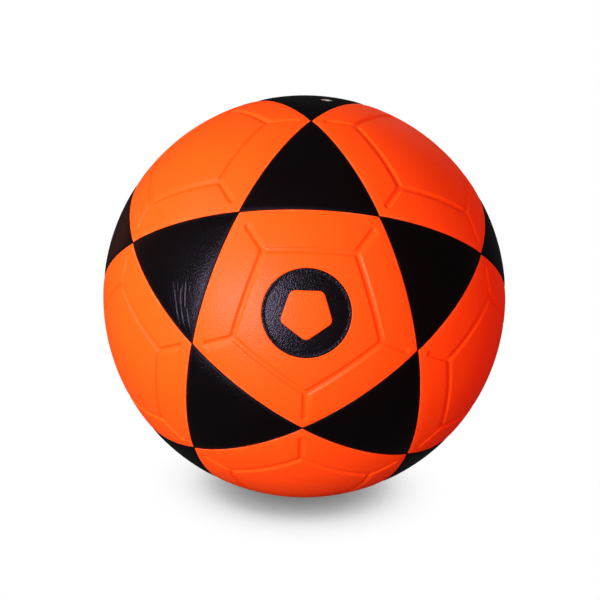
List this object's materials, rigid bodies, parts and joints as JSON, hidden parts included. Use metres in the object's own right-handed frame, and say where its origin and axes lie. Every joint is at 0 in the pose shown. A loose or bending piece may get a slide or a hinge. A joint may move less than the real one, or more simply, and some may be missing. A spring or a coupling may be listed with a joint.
{
  "type": "soccer ball",
  "caption": "Laminated soccer ball with orange pentagon and black triangle panels, pressed grooves, a front roundel, inner layers and an inflation valve.",
  "frame": {"origin": "centre of the ball", "axes": "+Z out through the middle of the triangle panel that has the valve, -Y towards the pentagon panel with the roundel, +X to its right"},
  "size_m": [0.219, 0.219, 0.219],
  "materials": {
    "orange_cover": "smooth satin polyurethane synthetic leather",
    "black_cover": "pebble-grained satin polyurethane synthetic leather",
    "black_inlay": "pebble-grained satin",
    "backing_foam": "fine closed-cell foam",
    "carcass_rubber": "matt moulded rubber",
    "nylon_thread": "wound thread",
    "bladder_rubber": "smooth butyl rubber",
    "valve_rubber": "matt moulded rubber",
    "plug_rubber": "soft light silicone rubber"
  },
  "bodies": {
    "root": {"pentagon_panel_upper_right": "orange_cover", "pentagon_panel_upper_back": "orange_cover", "pentagon_panel_upper_left": "orange_cover", "pentagon_panel_front": "orange_cover", "pentagon_panel_back_right": "orange_cover", "pentagon_panel_back_left": "orange_cover", "pentagon_panel_front_right": "orange_cover", "pentagon_panel_back": "orange_cover", "pentagon_panel_front_left": "orange_cover", "pentagon_panel_lower_front": "orange_cover", "pentagon_panel_lower_back_right": "orange_cover", "pentagon_panel_lower_back_left": "orange_cover", "triangle_panel_top": "black_cover", "triangle_panel_upper_front": "black_cover", "triangle_panel_upper_back_right": "black_cover", "triangle_panel_upper_back_left": "black_cover", "triangle_panel_high_front_right": "black_cover", "triangle_panel_high_right": "black_cover", "triangle_panel_high_back_right": "black_cover", "triangle_panel_high_back_left": "black_cover", "triangle_panel_high_left": "black_cover", "triangle_panel_high_front_left": "black_cover", "triangle_panel_low_front_right": "black_cover", "triangle_panel_low_right": "black_cover", "triangle_panel_low_back_right": "black_cover", "triangle_panel_low_back_left": "black_cover", "triangle_panel_low_left": "black_cover", "triangle_panel_low_front_left": "black_cover", "triangle_panel_lower_right": "black_cover", "triangle_panel_lower_back": "black_cover", "triangle_panel_lower_left": "black_cover", "triangle_panel_bottom": "black_cover", "roundel_disc": "black_inlay", "foam_layer": "backing_foam", "rubber_carcass": "carcass_rubber", "thread_winding": "nylon_thread", "bladder": "bladder_rubber", "valve_housing": "valve_rubber", "valve_plug": "plug_rubber"}
  },
  "joints": []
}
